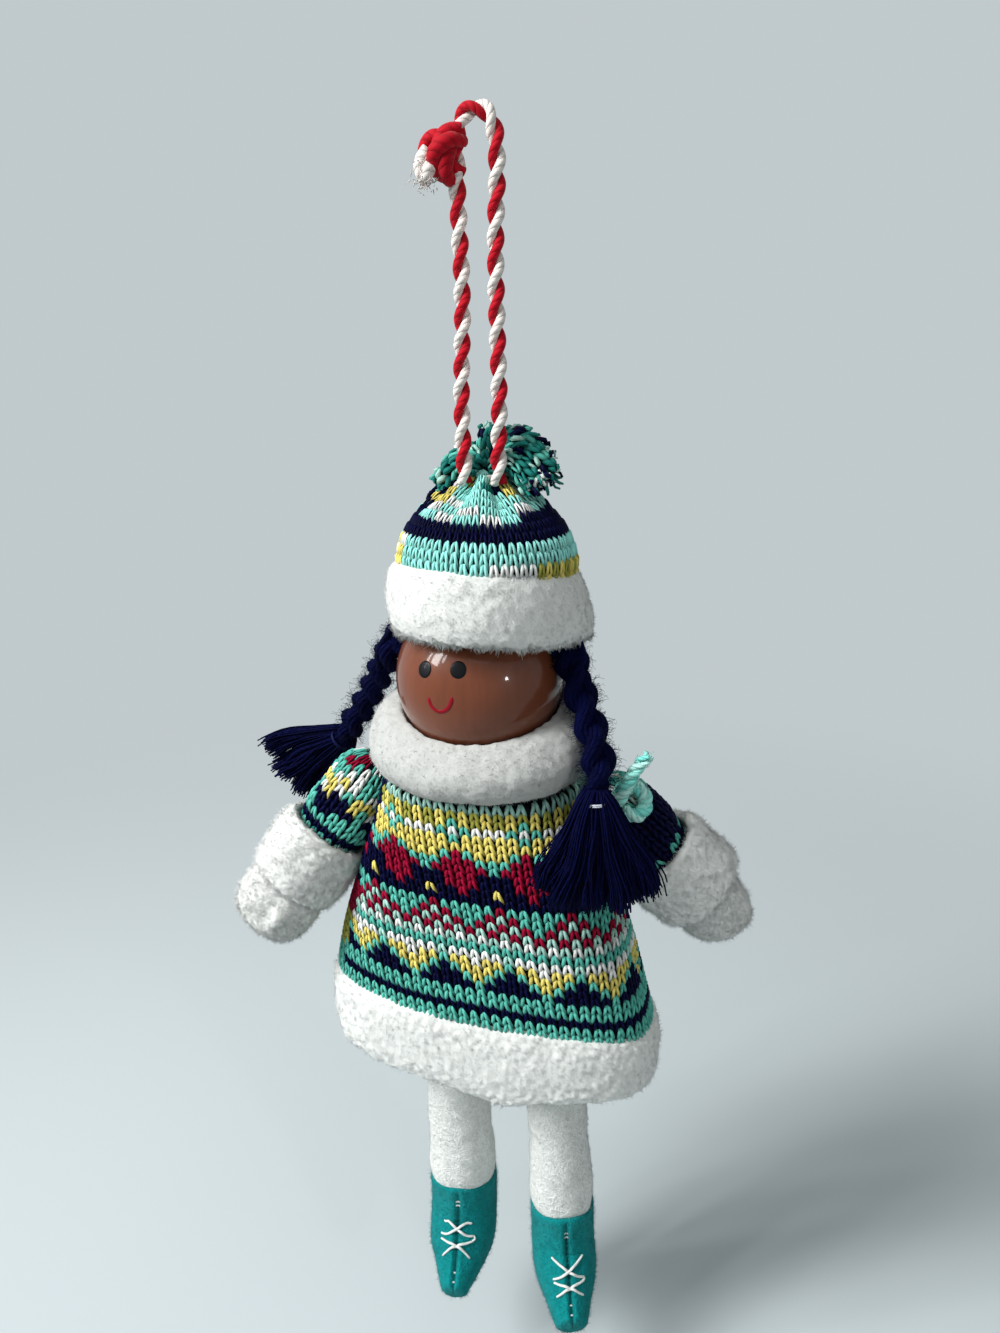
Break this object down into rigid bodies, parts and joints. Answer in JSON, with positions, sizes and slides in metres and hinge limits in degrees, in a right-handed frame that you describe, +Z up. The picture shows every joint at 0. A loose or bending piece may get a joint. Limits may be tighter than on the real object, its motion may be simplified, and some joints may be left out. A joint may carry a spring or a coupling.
{
  "type": "plush doll",
  "caption": "Hanging plush doll with a painted ball head, knitted cap and dress with fleece trim, yarn plaits, stuffed arms with mittens, and legs in laced felt boots.",
  "frame": {"origin": "the hanging point: inside of the top of the cord loop, where a hook carries the doll", "axes": "+Z up, the doll faces -Y, and its own left hand is on +X"},
  "size_m": [0.1253, 0.046, 0.2783],
  "materials": {
    "cord_yarn": "two-ply twisted red and white yarn",
    "knitwear": "multicolour stocking-stitch knitting",
    "fleece": "brushed white fleece",
    "plush": "short-napped white plush",
    "stuffing": "loose fibre filling",
    "painted_ball": "glossy brown lacquer with a painted face",
    "bare_wood": "plain turned wood",
    "felt": "dense teal felt",
    "panel_cloth": "plain woven cloth",
    "thread": "white sewing thread",
    "mint_yarn": "loose two-ply yarn",
    "navy_yarn": "soft navy yarn"
  },
  "bodies": {
    "hanging_loop": {"hanging_cord": "cord_yarn", "cord_knot": "cord_yarn"},
    "doll_body": {"cap_crown": "knitwear", "cap_gathering_thread": "thread", "cap_fringe": "knitwear", "cap_brim": "fleece", "head_ball": "painted_ball", "neck_dowel": "bare_wood", "hair_hank": "navy_yarn", "collar": "fleece", "dress_knit": "knitwear", "dress_hem": "fleece", "base_panel": "panel_cloth", "body_stuffing": "stuffing"},
    "arm_left": {"sleeve_left": "knitwear", "arm_stuffing_left": "stuffing", "cuff_left": "fleece", "mitten_left": "plush", "shoulder_yarn_end": "mint_yarn"},
    "arm_right": {"sleeve_right": "knitwear", "arm_stuffing_right": "stuffing", "cuff_right": "fleece", "mitten_right": "plush"},
    "leg_left": {"leg_left": "plush", "leg_stuffing_left": "stuffing", "boot_left": "felt", "boot_stuffing_left": "stuffing", "boot_lace_left": "thread"},
    "leg_right": {"leg_right": "plush", "leg_stuffing_right": "stuffing", "boot_right": "felt", "boot_stuffing_right": "stuffing", "boot_lace_right": "thread"},
    "plait_left": {"plait_root_left": "navy_yarn", "plait_strand_1_left": "navy_yarn", "plait_strand_2_left": "navy_yarn", "plait_strand_3_left": "navy_yarn", "plait_tie_left": "thread", "tassel_left": "navy_yarn"},
    "plait_right": {"plait_root_right": "navy_yarn", "plait_strand_1_right": "navy_yarn", "plait_strand_2_right": "navy_yarn", "plait_strand_3_right": "navy_yarn", "plait_tie_right": "thread", "tassel_right": "navy_yarn"}
  },
  "joints": [
    {"name": "hang_swing", "type": "hinge", "parent": "hanging_loop", "child": "doll_body", "pos_m": [0, -0.005, -0.0648], "axis": [1, 0, 0], "range_deg": [-20, 15]},
    {"name": "shoulder_left", "type": "hinge", "parent": "doll_body", "child": "arm_left", "pos_m": [0.0216, -0.0008, -0.1297], "axis": [0, -1, 0], "range_deg": [0, 40], "stiffness_Nm_per_rad": 0.005},
    {"name": "shoulder_right", "type": "hinge", "parent": "doll_body", "child": "arm_right", "pos_m": [-0.0284, -0.0008, -0.1297], "axis": [0, 1, 0], "range_deg": [0, 40], "stiffness_Nm_per_rad": 0.005},
    {"name": "hip_left", "type": "hinge", "parent": "doll_body", "child": "leg_left", "pos_m": [0.0116, -0.0008, -0.2039], "axis": [1, 0, 0], "range_deg": [-45, 45]},
    {"name": "hip_right", "type": "hinge", "parent": "doll_body", "child": "leg_right", "pos_m": [-0.0138, -0.0008, -0.2039], "axis": [1, 0, 0], "range_deg": [-45, 45]},
    {"name": "plait_swing_left", "type": "hinge", "parent": "doll_body", "child": "plait_left", "pos_m": [0.0182, -0.0013, -0.10126], "axis": [-1, 0, 0], "range_deg": [0, 40]},
    {"name": "plait_swing_right", "type": "hinge", "parent": "doll_body", "child": "plait_right", "pos_m": [-0.0241, -0.0013, -0.10126], "axis": [1, 0, 0], "range_deg": [0, 40]}
  ]
}
